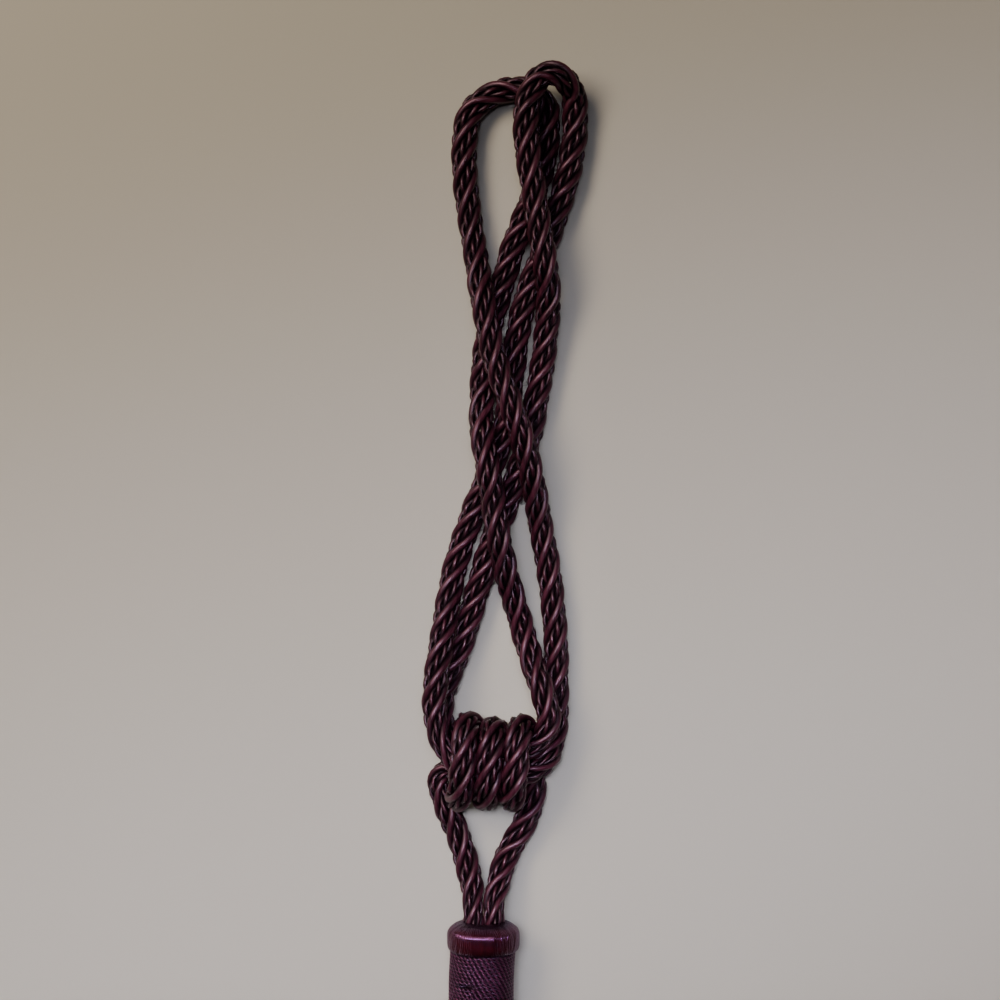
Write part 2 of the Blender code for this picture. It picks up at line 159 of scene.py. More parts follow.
# reach from the winding's middle: full painted shade below the first, none above the second
CORD_GROOVE_TO_RIDGE = (0.5, 0.82)
CORD_SIDES = 6
CORD_TINTS = (-0.2, 0.4)  # of its two strands
CORD_SAG = (0.05, 31)  # size and length of a row's slow wander along the head
CORD_ANGLE_WANDER = (0.15, 47)
BUMPS_PER_ROW = 38.57
WINDING_STEP = 0.5
BOW = (0.3, 0.75)  # how far the barrel stands off to its left at the ends, and more at its middle
CORE_RADIUS = 13.1
CORE_STEP = 0.5
CORE_SIDES = 96
CORE_RELIEF = 0.25
CORE_END = 0.6  # share of the radius where the core's end faces have a row of points
AXIS_RADIUS = 0.5  # the smallest ring of points, round the head's axis
BARREL_CORE_INSET = 0.2
FLAW_PLACE = (-16.4, -129.9)  # a short stretch of the winding has sunk in
FLAW_REACH = (2.6, 0.85)
FLAW_DEPTH = 2.4
FLAW_DARKENING = 2  # painted shade, for each millimetre that the cord has sunk

# The fringe.
BAND_TOP = BARREL_TOP - BARREL_LENGTH - GAP
BAND_LENGTH = 3.0
BAND_RADIUS = 13.4
YARNS_ACROSS = 26
YARN_RADIUS = 0.78
YARN_ROOT_RADIUS = 0.6
YARN_STEPS = 26
YARN_SIDES = 5
YARN_SEED = 11
YARN_LENGTH = 123.0
YARN_UNEVENNESS = 1.54
YARN_SCATTER = 0.35  # share of the room between two yarns
YARN_WAVE = 0.05  # how far a yarn's end strays, as a share of the skirt's half width
YARN_WAVE_ACROSS = 5  # radians of that wave along the yarn
YARN_WAVE_UP = 4
YARN_THICKENS = 0.2  # share of the length in which a yarn comes to its full thickness
YARN_ROOT_DEPTH = 0.8  # share of the heading band that the yarns reach up into
BAND_ROWS = 1.0
BAND_CORD_INSET = 0.6
BAND_CORE_INSET = 1.2
BAND_CORE_DROP = 0.1
# painted light where the fringe's yarns touch, at its darkest
SKIRT_PAINTED_LIGHT_LEAST = 0.4
SKIRT_HALF_WIDTH = 27.0
SKIRT_SPREAD = (-0.1, 0.85)  # shares of the length between which the skirt widens
SKIRT_DROOP = 0.3  # share of the length in which it comes down to the floor
SKIRT_HEIGHT = 23.0
SKIRT_MIDDLE = 6.0  # height that the skirt's yarns turn outwards from
SKIRT_CROWN = 0.9  # how far across the heap's round top reaches towards the floor

# The yarns' look.
YARN_LEAD = 4.4  # along a strand, one turn of the yarns that it is spun from
YARN_STARTS = 3
YARN_RIBS = 0.14
FIBRES_ALONG = 0.28  # the fibres' pattern along the yarn, against the streaks across it
FIBRE_DETAIL = 3.0
PATCHES_PER_METRE = 38.0
PATCH_DETAIL = 2.0
PATCH_SHARE = 0.7
TINT_SHARE = 0.16
DARK_TO_LIGHT = (0.45, 1.25)
FIBRE_ROUGHNESS = (0.1, -0.08)  # what dark and light fibres add to the yarn's roughness
GROOVE_ROUGHNESS = 0.06
BUMP_STRENGTH = 0.55
BUMP_HEIGHT = 0.12

# The floor and the room, in metres, as the lights' places and sizes are.
FLOOR_SIZE = 8
FLOOR_DROP = 0.0004
FLOOR_COLOUR = (0.45, 0.435, 0.4)
FLOOR_ROUGHNESS = 0.9
ROOM_COLOUR = (0.93, 0.96, 1.0)
ROOM_STRENGTH = 0.02

# Route points in millimetres: right, up the length, height above the floor.
RIGHT_LOOP_OUTER = [
    (-5, -36.5, 16.8), (-9.5, -36, 16.5), (-16, -31, 19.5), (-21.5, -25.5, 20), (-26, -19.5, 20),
    (-28.5, -12, 18.8), (-29.5, -3.5, 17.8), (-29, 10.5, 17), (-26, 32, 12), (-21.5, 57.5, 6),
    (-13.5, 82.5, 5.5), (-6, 101.5, 5.5), (1, 123.5, 8), (4, 145.5, 7), (7, 167, 5.5),
    (12, 185.5, 5.5), (17.5, 201.5, 5.5), (22.5, 217.5, 5.5), (27.5, 237, 5.5), (31, 256, 5.5),
    (31, 270, 8), (28.5, 275.8, 13),
]
RIGHT_LOOP_INNER = [
    (22.5, 279.2, 17), (16.5, 278, 17), (12.5, 272, 17), (10, 262, 17), (10.5, 246, 17),
    (13, 228, 17), (15, 210, 17), (17, 192, 16), (17.3, 176, 9), (16, 153.5, 5.5),
    (13, 132.5, 5.5), (10.3, 116, 5.5), (6, 99.5, 5.5), (1, 83.5, 5.5), (-5, 68, 5.5),
    (-10, 51, 5.5), (-15, 35, 5.5), (-20, 18.5, 5.5), (-24.5, 6.5, 5.5), (-27, -4.5, 5.5),
    (-25.5, -14.5, 7), (-21, -22, 10.5), (-15, -26, 13), (-8.5, -26.5, 16.8), (-1.5, -26.5, 16.8),
]
LEFT_LOOP_INNER = [
    (5.5, -26, 16.8), (12, -23, 17.5), (17.5, -17.5, 18), (19.5, -10.5, 18), (18.5, -3.5, 17.5),
    (15.5, 6, 15.5), (11.5, 18, 9), (6.5, 35, 5.5), (1, 54, 12), (-2.5, 72.5, 17.7),
    (-4, 87, 16.2), (-5.5, 101.5, 17.7), (-7, 116.5, 13), (-7.5, 135, 5.5), (-6.5, 153.5, 5.5),
    (-3, 170, 5.5), (1.8, 185.5, 5.5), (6.8, 202.5, 5.5), (14.2, 221.5, 5.5), (20.5, 239, 5.5),
    (22, 255, 5.5), (20.5, 267, 5.5), (13.5, 273.5, 5.5), (3.5, 274.5, 5.5), (-5.5, 271.5, 5.5),
    (-13.6, 265.2, 5.5),
]
LEFT_LOOP_OUTER = [
    (-17.2, 253.8, 5.5), (-17.2, 234, 5.5), (-14.2, 212.5, 5.5), (-10.5, 193, 8), (-7.5, 174, 15),
    (-3.5, 151, 17.6), (3, 131, 19.5), (9, 112, 17.7), (13, 94.5, 13.5), (16.2, 78, 7),
    (20, 58.5, 5.5), (22.4, 40, 5.5), (23.7, 20.5, 5.5), (23.2, 0, 5.5), (22.4, -12.5, 6),
    (20.3, -22.5, 8.5), (17, -29.5, 13), (10, -34.5, 16.8), (2, -36.5, 16.8), (-3.5, -36.5, 16.8),
]
HANGER_LEFT = [
    (-13.4, -111, 15.7), (-13.4, -100.5, 15), (-13.5, -93.5, 12.5), (-14.5, -86, 9),
    (-17, -76.5, 6.5), (-20.5, -65.5, 5.5), (-24, -57, 5.5), (-27, -50, 5.5),
    (-29, -44, 5.5), (-28, -38.5, 5.5), (-23.5, -36.5, 5.5), (-19.5, -39.5, 5.9), (-18, -44.5, 9.5),
]
HANGER_RIGHT = [
    (8.5, -20.5, 9), (10, -26, 6), (11, -34, 5.5), (11.5, -41, 5.2), (11.8, -49, 5.2),
    (10.5, -55.5, 5.5), (6.5, -65, 5.5), (1, -75, 6), (-2, -85, 8.5), (-4.3, -93.5, 12.5),
    (-4.6, -100.5, 15), (-4.6, -111, 15.7),
]


# Lines and tubes


def ease(value, low, high):
    """0 below low and 1 above high, with a smooth rise between."""
    share = np.clip((value - low) / (high - low), 0, 1)
    return share * share * (3 - 2 * share)


def smooth_route(points, step):
    """Evenly spaced points on a Catmull-Rom curve through the route's points."""
    route = np.array(points, float)
    route = np.vstack([2 * route[0] - route[1], route, 2 * route[-1] - route[-2]])
    fine = []
    for a, b, c, d in zip(route, route[1:], route[2:], route[3:]):
        slope = c - a
        bend = 2 * a - 5 * b + 4 * c - d
        swing = 3 * b - a - 3 * c + d
        for part in range(CURVE_PARTS):
            t = part / CURVE_PARTS
            fine.append(b + t * (slope + t * (bend + t * swing)) / 2)
    fine = np.array(fine + [route[-2]])
    along = arc_lengths(fine)
    places = np.linspace(0, along[-1], round(along[-1] / step) + 1)
    return np.stack([np.interp(places, along, fine[:, axis]) for axis in range(3)], 1)


def arc_lengths(points):
    """How far along the line each point lies."""
    return np.concatenate([[0], np.cumsum(np.linalg.norm(np.diff(points, axis=0), axis=1))])


def travelling_frame(middle):
    """Unit vectors beside and above the line, turning with it as little as they can.

    The line doesn't start upright."""
    along = np.gradient(middle, axis=0)
    along /= np.linalg.norm(along, axis=1)[:, None]
    beside = np.empty_like(middle)
    start = np.cross(along[0], (0, 0, 1))
    beside[0] = start / np.linalg.norm(start)
    for index in range(1, len(middle)):
        turned = beside[index - 1] - along[index] * (beside[index - 1] @ along[index])
        beside[index] = turned / np.linalg.norm(turned)
    return beside, np.cross(along, beside)


def slow_noise(places, wavelength, seed):
    """A smooth, repeatable wander between about -1 and 1."""
    phases = np.random.default_rng(seed).uniform(0, 2 * math.pi, len(WANDER_RATES))
    waves = [
        np.sin(places * 2 * math.pi * rate / wavelength + phase) / rate
        for rate, phase in zip(WANDER_RATES, phases)
    ]
    return sum(waves) / WANDER_SCALE


def wander(size_and_length, places, seed):
    """Slow noise of this size, that comes and goes over this length."""
    size, length = size_and_length
    return size * slow_noise(places, length, seed)


def facing(rings, spread):
    """How squarely the points of each ring face the way that spread runs, from -1 to 1."""
    flank = rings - rings.mean(axis=1)[:, None]
    lengths = np.linalg.norm(flank, axis=2) * np.linalg.norm(spread, axis=2)
    return (flank * spread).sum(2) / (lengths + TINY)


class Tubes:
    """Tubes gathered into one mesh, with the values that their material reads at each point.

    fibre is the place on the yarn: round it in x and y, and along it in z, in millimetres.
    tint is how light that yarn is against its neighbours.
    painted light is 1 where a rope, head or skirt faces out, lower where shade is painted between
    strands."""

    def __init__(self):
        self.points = []
        self.faces = []
        self.fibre = []
        self.tint = []
        self.painted_light = []
        self.total = 0
        self.count = 0

    def add(self, middle, outwards, radius, sides, tint, painted_light_of):
        """A round tube along middle; outwards says which way is up on its section.

        No point goes below the floor."""
        tangent = np.gradient(middle, axis=0)
        tangent /= np.linalg.norm(tangent, axis=1)[:, None]
        high = outwards - tangent * (outwards * tangent).sum(1)[:, None]
        high /= np.maximum(np.linalg.norm(high, axis=1), TINY)[:, None]
        wide = np.cross(tangent, high)
        angles = np.arange(sides) * 2 * math.pi / sides
        radius = np.broadcast_to(np.asarray(radius, float), (len(middle),))
        ring = wide[:, None] * np.cos(angles)[None, :, None]
        ring = ring + high[:, None] * np.sin(angles)[None, :, None]
        rings = middle[:, None] + ring * radius[:, None, None]
        rings[:, :, 2] = np.maximum(rings[:, :, 2], 0)
        along = arc_lengths(middle)
        fibre = np.empty_like(rings)
        fibre[:, :, 0] = np.cos(angles)[None] * radius.mean()
        fibre[:, :, 1] = np.sin(angles)[None] * radius.mean()
        fibre[:, :, 2] = along[:, None] + FIBRE_OFFSET * self.count
        index = self.add_surface(rings, fibre, np.full(rings.shape[:2], tint), painted_light_of(rings))
        self.faces.append(index[0][::-1].tolist())
        self.faces.append(index[-1].tolist())

    def add_surface(self, grid, fibre, tint, painted_light):
        """A surface of rows of points, each row a ring. Returns the points' numbers."""
        rows, across = grid.shape[:2]
        index = np.arange(rows * across).reshape(rows, across) + self.total
        here, after = index[:-1], index[1:]
        quads = np.stack([here, np.roll(here, -1, 1), np.roll(after, -1, 1), after], 2)
        self.points.append(grid.reshape(-1, 3))
        self.fibre.append(fibre.reshape(-1, 3))
        self.tint.append(tint.reshape(-1))
        self.painted_light.append(painted_light.reshape(-1))
        self.faces += quads.reshape(-1, 4).tolist()
        self.total += index.size
        self.count += 1
        return index

    def make(self, name, material):
        """The mesh object of all that was added."""
        mesh = bpy.data.meshes.new(name)
        mesh.from_pydata((np.vstack(self.points) * MM).tolist(), [], self.faces)
        fibre = mesh.attributes.new("fibre", "FLOAT_VECTOR", "POINT")
        fibre.data.foreach_set("vector", np.vstack(self.fibre).ravel())
        for attribute, values in (("tint", self.tint), ("painted_light", self.painted_light)):
            layer = mesh.attributes.new(attribute, "FLOAT", "POINT")
            layer.data.foreach_set("value", np.concatenate(values))
        mesh.materials.append(material)
        mesh.shade_smooth()
        piece = bpy.data.objects.new(name, mesh)
        bpy.context.scene.collection.objects.link(piece)
        return piece


# The ropes


def knot_turns():
    """The hanger's turns round the loops' rope, from the first turn's lower edge on."""
    points = []
    for step in range(round(KNOT_TURNS * POINTS_PER_TURN) + 1):
        turn, part = divmod(step, POINTS_PER_TURN)
        angle = 2 * math.pi * part / POINTS_PER_TURN
        across = math.cos(angle)
        if 2 * part <= POINTS_PER_TURN:
            shift = FRONT_LEAN * (1 - across) / 2
            rise = KNOT_RISES[turn]
        else:
            behind = 2 * part / POINTS_PER_TURN - 1
            shift = FRONT_LEAN + (TURN_PITCH - FRONT_LEAN) * math.sin(math.pi / 2 * behind)
            rise = 1
        x = KNOT_X + TURN_PITCH * turn + shift
        place = turn + max(2 * part / POINTS_PER_TURN - 1, 0)
        flat = np.interp(place, range(len(TURN_FLATS)), TURN_FLATS)
        drop = np.interp(place, range(len(TURN_DROPS)), TURN_DROPS)
        y = KNOT_Y - drop - TURN_RADIUS * across - flat * math.tanh(TURN_SQUARENESS * across)
        points.append((x, y, KNOT_HEIGHT + TURN_RADIUS * rise * math.sin(angle)))
    return points


def loops_thickness(points):
    """The loops' rope is squeezed where the knot holds it."""
    from_knot = np.hypot(points[:, 0] - KNOT_X - TURN_PITCH, points[:, 1] - KNOT_Y)
    return SQUEEZED + (1 - SQUEEZED) * ease(from_knot, *KNOT_REACH)


def hanger_thickness(points):
    """The hanger is flattened where it hooks in, and thin where both legs enter the collar."""
    from_hook = np.linalg.norm(points - (*HOOK, LOWEST_MIDDLE), axis=1)
    hook = HOOK_FLATTENED + (1 - HOOK_FLATTENED) * ease(from_hook, *HOOK_REACH)
    turns = 1 - (1 - TURN_SQUEEZED) * ease(points[:, 1], *TURNS_FROM)
    return hook * turns * (1 - (1 - TAPERED) * ease(-points[:, 1], -TAPER_FROM, -TAPER_TO))


def clear_crossings(ropes, thicknesses):
    """Parts the ropes where they cross, so that one passes over the other just clear of it.

    A stretch that is moved takes its neighbours along, so that the rope stays smooth."""
    points = np.vstack(ropes)
    radius = np.concatenate(thicknesses) * RIDGE_RADIUS
    owner = np.repeat(np.arange(len(ropes)), [len(rope) for rope in ropes])
    order = np.arange(len(points))
    apart = (owner[:, None] != owner) | (abs(order[:, None] - order) > NEIGHBOURS)
    wanted = np.where(apart, radius[:, None] + radius + CLEARANCE, 0)
    lowest = LOWEST_MIDDLE * np.concatenate(thicknesses)
    inner = (owner[1:-1] == owner[2:]) & (owner[1:-1] == owner[:-2])
    start = points.copy()
    for count in range(CLEARING_PASSES):
        between = points[:, None] - points
        distance = np.maximum(np.linalg.norm(between, axis=2), TINY)
        lack = np.maximum(wanted - distance, 0)
        points += (between * (lack / distance)[:, :, None]).sum(1) * PUSH
        if count < SMOOTHED_PASSES:
            moved = points - start
            bend = (moved[:-2] + moved[2:]) / 2 - moved[1:-1]
            points[1:-1] += EVENING * bend * inner[:, None]
        points[:, 2] = np.maximum(points[:, 2], lowest)
    ends = np.cumsum([len(rope) for rope in ropes])[:-1]
    return np.split(points, ends)


def rope_routes():
    """The middles of both ropes, in millimetres."""
    loops = RIGHT_LOOP_OUTER + RIGHT_LOOP_INNER + LEFT_LOOP_INNER + LEFT_LOOP_OUTER
    hanger = HANGER_LEFT + knot_turns() + HANGER_RIGHT
    routes = [smooth_route(points, ROUTE_STEP) for points in (loops, hanger)]
    return clear_crossings(routes, [loops_thickness(routes[0]), hanger_thickness(routes[1])])


def loops_strand_size(points):
    """As thick as the solid rope, but for a slight swell below the crown."""
    off = (points[:, 1] - CROWN_SIDE[0]) / CROWN_SIDE[1]
    return loops_thickness(points) * (1 + CROWN_SWELL * np.exp(-(off**2)))


def hanger_strand_size(points):
    """Where the solid rope is thinned to clear its neighbours, the strands press into them."""
    at_collar = ease(-points[:, 1], -TAPER_FROM, -TAPER_TO)
    in_turns = ease(points[:, 1], *TURNS_FROM)
    legs = 1 + (SCENE_TAPERED / TAPERED - 1) * at_collar
    return hanger_thickness(points) * legs * (1 + (SCENE_TURNS / TURN_SQUEEZED - 1) * in_turns)


def inward_limited(offset, middle, spacing):
    """Keeps strands on the inner side of a bend from passing its centre."""
    bend = np.gradient(np.gradient(middle, axis=0), axis=0) / spacing**2
    amount = np.linalg.norm(bend, axis=1)
    inward = bend / np.maximum(amount, TINY)[:, None]
    depth = (offset * inward).sum(1)
    limit = TIGHTEST / np.maximum(amount, STRAIGHT)
    kept = np.where(depth > 0, limit * np.tanh(depth / limit), depth)
    return offset + inward * (kept - depth)[:, None]


def make_rope(name, route, thickness_of, twist_shifts, seed):
    """One rope, laid from its strands along the route."""
    middle = smooth_route(route, STRAND_STEP)
    along = arc_lengths(middle)
    spacing = along[-1] / (len(middle) - 1)
    beside, above = travelling_frame(middle)
    size = thickness_of(middle)
    twist = 2 * math.pi * along / LAY + wander(TWIST_WANDER, along, seed)
    twist = twist + np.interp(along, *zip(*twist_shifts))
    shades = np.random.default_rng(seed).uniform(-1, 1, PLIES * (THREADS_PER_PLY + 1))
    rope = Tubes()

    def spoke(angle):
        return beside * np.cos(angle)[:, None] + above * np.sin(angle)[:, None]

    # Painted shade: darker deep between the strands and on each strand's flank.
    def painted_light(rings):
        spread = rings - middle[:, None]
        reach = np.linalg.norm(spread, axis=2) / size[:, None]
        return ease(reach, *GROOVE_TO_RIDGE) * ease(facing(rings, spread), *FLANK_TO_TOP)

    for ply in range(PLIES):
        angle = twist + 2 * math.pi * ply / PLIES
        centre = spoke(angle) * (PLY_REACH * size)[:, None]
        for thread in range(THREADS_PER_PLY):
            turn = 2 * math.pi * (along / THREAD_LAY + thread / THREADS_PER_PLY) + ply
            strays = wander(THREAD_WANDER, along, seed + SEEDS_PER_PLY * ply + thread)
            reach = THREAD_REACH * (1 + strays) * size
            outwards = spoke(turn)
            place = middle + inward_limited(centre + outwards * reach[:, None], middle, spacing)
            shade = shades[ply * THREADS_PER_PLY + thread]
            rope.add(place, outwards, THREAD_RADIUS * size, THREAD_SIDES, shade, painted_light)
        angle = angle + math.pi / PLIES
        angle = angle + wander(THICK_ANGLE_WANDER, along, seed + THICK_ANGLE_SEED + ply)
        outwards = spoke(angle)
        strays = wander(THICK_REACH_WANDER, along, seed + THICK_REACH_SEED + ply)
        reach = THICK_REACH * size * (1 + strays)
        place = middle + inward_limited(outwards * reach[:, None], middle, spacing)
        shade = shades[-1 - ply]
        rope.add(place, outwards, THICK_RADIUS * size, THICK_SIDES, shade, painted_light)
    piece = rope.make(name, ROPE_MATERIAL)
    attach(piece, "root")
    return piece, middle * MM


# The head


def collar_profile():
    """From between the ropes, over the round shoulder and down to the lower edge: radius, depth."""
    top = [(0.5, 3.0), (3.0, 0.2), (5.2, -1.0), (8.0, -1.6), (10.2, -1.4), (12.6, -0.6)]
    side = [(14.9, 1.0), (16.0, 2.3), (16.4, 4.0), (16.4, 6.8), (16.2, 9.3), (15.3, 11.2)]
    return top + side + [(CORE_RADIUS, COLLAR_LENGTH)]


def waves_round(angle, count, seed):
    """Slow noise that comes and goes this often round the head."""
    return slow_noise(angle, 2 * math.pi / count, seed)


def collar_surface():
    """Rows of points down the collar, and the fibre, tint and painted light values of each."""
    profile = smooth_route([(r, d, 0) for r, d in collar_profile()], SATIN_STEP)[:, :2]
    slope = np.gradient(profile, axis=0)
    slope /= np.linalg.norm(slope, axis=1)[:, None]
    outwards = np.stack([slope[:, 1], -slope[:, 0]], 1)
    down = arc_lengths(np.c_[profile, np.zeros(len(profile))])
    count = SATIN_THREADS * POINTS_PER_SATIN_THREAD
    turn = np.arange(count) / POINTS_PER_SATIN_THREAD
    angle = 2 * math.pi * np.arange(count) / count
    ridge = np.sqrt(1 - SATIN_ROUNDNESS * (2 * (turn - np.round(turn))) ** 2)
    heights = np.random.default_rng(SATIN_SEED).normal(0, 1, SATIN_THREADS)
    height = heights[(turn + 0.5).astype(int) % SATIN_THREADS]
    groups = sum(waves_round(angle, *group) for group in SATIN_GROUPS)
    grid = np.empty((len(profile), count, 3))
    for row, ((radius, depth), (out_r, out_d)) in enumerate(zip(profile, outwards)):
        share = radius / COLLAR_RADIUS
        wave = slow_noise(down[row] + height * SATIN_THREAD_APART, *SATIN_THREAD_WAVE)
        uneven = SATIN_GROUP_SHARE * groups + SATIN_THREAD_SHARE * height * wave
        relief = SATIN_RELIEF * share * (ridge - 1) + SATIN_UNEVENNESS * share * uneven
        drifted = angle + down[row] * SATIN_SWING_DRIFT
        swing = angle + SATIN_SWING * waves_round(drifted, *SATIN_SWINGS)
        reach = radius + relief * out_r
        grid[row, :, 0] = HEAD_X + reach * np.sin(swing)
        grid[row, :, 1] = COLLAR_TOP - depth - relief * out_d
        grid[row, :, 2] = np.maximum(HEAD_HEIGHT + reach * np.cos(swing), 0)
    fibre = np.empty_like(grid)
    fibre[:, :, 0] = SATIN_FIBRE_RADIUS * np.cos(angle)
    fibre[:, :, 1] = SATIN_FIBRE_RADIUS * np.sin(angle)
    fibre[:, :, 2] = down[:, None]
    tint = np.tile(height * SATIN_TINT, (len(profile), 1))
    # Painted shade between the satin threads and at the lower edge, and the ropes' painted shadow at the
    # mouth.
    lower_edge = ease(COLLAR_LENGTH - profile[:, 1], 0, LOWER_EDGE_SHADOW)
    shadow = ease(profile[:, 0], *MOUTH_SHADOW) * lower_edge
    return grid, fibre, tint, np.clip(ridge, SATIN_PAINTED_LIGHT_LEAST, 1) * shadow[:, None]


def make_collar():
    """The ring's satin threads, each a low ridge that runs over it from the mouth down."""
    collar = Tubes()
    collar.add_surface(*(values[:, ::-1] for values in collar_surface()))
    piece = collar.make("satin_collar", SATIN_MATERIAL)
    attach(piece, "root")
    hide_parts("head_collar")


def wind_cord(tubes, top, rows, radius, bow, seed):
    """A two-strand twisted cord wound round the head's axis, row under row.

    bow is 1 where the winding leans out to the left as the barrel's does, and 0 where it's even."""
    around = 2 * math.pi * radius
    length = around * rows
    along = np.linspace(0, length, round(length / WINDING_STEP) + 1)
    turn = along / radius + math.pi
    down = CORD_PITCH * along / around
    y = top - down + wander(CORD_SAG, along, seed)
    outwards = np.stack([np.sin(turn), np.zeros_like(turn), np.cos(turn)], 1)
    lengthways = np.array([0.0, 1.0, 0.0])
    centre = HEAD_X - bow * (BOW[0] + BOW[1] * np.sin(math.pi * along / length))
    x = centre + radius * outwards[:, 0]
    off_x = (x - FLAW_PLACE[0]) / FLAW_REACH[0]
    off_y = (y - FLAW_PLACE[1]) / FLAW_REACH[1]
    sunk = FLAW_DEPTH * np.exp(-(off_x**2) - off_y**2) * (outwards[:, 2] > 0)
    middle = np.stack([x, y, HEAD_HEIGHT + radius * outwards[:, 2]], 1) - outwards * sunk[:, None]
    lay = 2 * around / BUMPS_PER_ROW

    # Painted shade: darker between the cord's strands, on their flanks, and where the cord has sunk in.
    def painted_light(rings):
        spread = np.zeros_like(rings)
        spread[:, :, 0] = rings[:, :, 0] - centre[:, None]
        spread[:, :, 2] = rings[:, :, 2] - HEAD_HEIGHT
        reach = np.linalg.norm(spread, axis=2) - radius
        sunk_dark = np.exp(-FLAW_DARKENING * sunk)[:, None]
        raised = ease(reach, *CORD_GROOVE_TO_RIDGE) * sunk_dark
        return raised * ease(facing(rings, spread), *FLANK_TO_TOP)

    for strand, tint in enumerate(CORD_TINTS):
        angle = math.pi * strand - 2 * math.pi * along / lay
        angle = angle + wander(CORD_ANGLE_WANDER, along, seed + 1)
        place = middle + outwards * (CORD_STRAND_REACH * np.cos(angle))[:, None]
        place = place + lengthways * (CORD_STRAND_SWAY * np.sin(angle))[:, None]
        tubes.add(place, outwards, CORD_STRAND_RADIUS, CORD_SIDES, tint, painted_light)


def add_core(tubes, top, length, radius):
    """What the cord is wound on, with a low ridge under each row."""
    down = np.linspace(0, length, round(length / CORE_STEP) + 1)
    reach = radius - CORE_RELIEF * np.cos(2 * math.pi * down / CORD_PITCH)
    upper_end = [(AXIS_RADIUS, 0.0), (radius * CORE_END, 0.0)]
    lower_end = [(radius * CORE_END, length), (AXIS_RADIUS, length)]
    profile = [*upper_end, *zip(reach, down), *lower_end]
    angle = np.arange(CORE_SIDES) * 2 * math.pi / CORE_SIDES
    grid = np.empty((len(profile), len(angle), 3))
    for row, (r, d) in enumerate(profile):
        grid[row, :, 0] = HEAD_X + r * np.sin(angle)
        grid[row, :, 1] = top - d
        grid[row, :, 2] = HEAD_HEIGHT + r * np.cos(angle)
    fibre = grid - (HEAD_X, 0, HEAD_HEIGHT)
    # The core gets the grooves' painted shade all over, with no painted light.
    deep = np.zeros(grid.shape[:2])
    tubes.add_surface(grid[:, ::-1], fibre[:, ::-1], deep - 1, deep)


def make_barrel():
    """The barrel under the collar, with its winding."""
    barrel = Tubes()
    rows = BARREL_LENGTH / CORD_PITCH
    core_length = BARREL_LENGTH - 2 * BARREL_CORE_INSET
    add_core(barrel, BARREL_TOP - BARREL_CORE_INSET, core_length, CORE_RADIUS)
    wind_cord(barrel, BARREL_TOP, rows, BARREL_RADIUS - CORD_RADIUS, bow=1, seed=31)
    piece = barrel.make("wound_barrel", WINDING_MATERIAL)
    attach(piece, "root")
    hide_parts("head_barrel")


# The fringe


def disc_place(u, v):
    """Points of the square from -1 to 1, moved into the unit disc."""
    return u * np.sqrt(1 - v * v / 2), v * np.sqrt(1 - u * u / 2)


def skirt_place(u, v, share):
    """How far across and up the yarn at (u, v) of the band's square lies, this share of the way down."""
    across, up = disc_place(u, v)
    half_width = BAND_RADIUS + (SKIRT_HALF_WIDTH - BAND_RADIUS) * ease(share, *SKIRT_SPREAD)
    crown = SKIRT_HEIGHT * np.sqrt(1 - (SKIRT_CROWN * across) ** 2)
    heap_height = crown * (v + 1) / 2
    round_height = HEAD_HEIGHT + BAND_RADIUS * up
    droop = ease(share, 0, SKIRT_DROOP)
    return HEAD_X + across * half_width, round_height + (heap_height - round_height) * droop


def skirt_painted_light(rings):
    """Painted shade where the yarns touch, with their outer sides painted lighter."""
    outer = ease(facing(rings, rings - (HEAD_X, 0, SKIRT_MIDDLE)), *FLANK_TO_TOP)
    return SKIRT_PAINTED_LIGHT_LEAST + (1 - SKIRT_PAINTED_LIGHT_LEAST) * outer


def make_fringe():
    """The cut yarns of the skirt, and the heading band that holds them."""
    fringe = Tubes()
    rng = np.random.default_rng(YARN_SEED)
    share = np.linspace(0, 1, YARN_STEPS)
    thickened = ease(share, 0, YARN_THICKENS)
    radius = YARN_ROOT_RADIUS + (YARN_RADIUS - YARN_ROOT_RADIUS) * thickened
    band_low = BAND_TOP - BAND_LENGTH
    root = BAND_LENGTH * YARN_ROOT_DEPTH
    for column in range(YARNS_ACROSS):
        for row in range(YARNS_ACROSS):
            u = (column + 0.5 + rng.uniform(-YARN_SCATTER, YARN_SCATTER)) / YARNS_ACROSS * 2 - 1
            v = (row + 0.5 + rng.uniform(-YARN_SCATTER, YARN_SCATTER)) / YARNS_ACROSS * 2 - 1
            length = YARN_LENGTH + YARN_UNEVENNESS * rng.normal(0, 1)
            phase_across, phase_up = rng.uniform(0, 2 * math.pi, 2)
            wave = YARN_WAVE * share * np.sin(share * YARN_WAVE_ACROSS + phase_across)
            lift = YARN_WAVE * share * np.sin(share * YARN_WAVE_UP + phase_up)
            x, z = skirt_place(np.clip(u + wave, -1, 1), np.clip(v + lift, -1, 1), share)
            z = np.maximum(z, radius)
            y = band_low + root - (length + root) * share
            middle = np.stack([x, y, z], 1)
            spoke = [math.cos(phase_across), 0.0, math.sin(phase_across)]
            outwards = np.tile(spoke, (YARN_STEPS, 1))
            fringe.add(middle, outwards, radius, YARN_SIDES, rng.uniform(-1, 1), skirt_painted_light)
    wind_cord(fringe, BAND_TOP, BAND_ROWS, BAND_RADIUS - BAND_CORD_INSET, bow=0, seed=41)
    add_core(fringe, BAND_TOP - BAND_CORE_DROP, BAND_LENGTH, BAND_RADIUS - BAND_CORE_INSET)
    piece = fringe.make("fringe", FRINGE_MATERIAL)
    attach(piece, "root")
    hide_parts("skirt")


# Materials


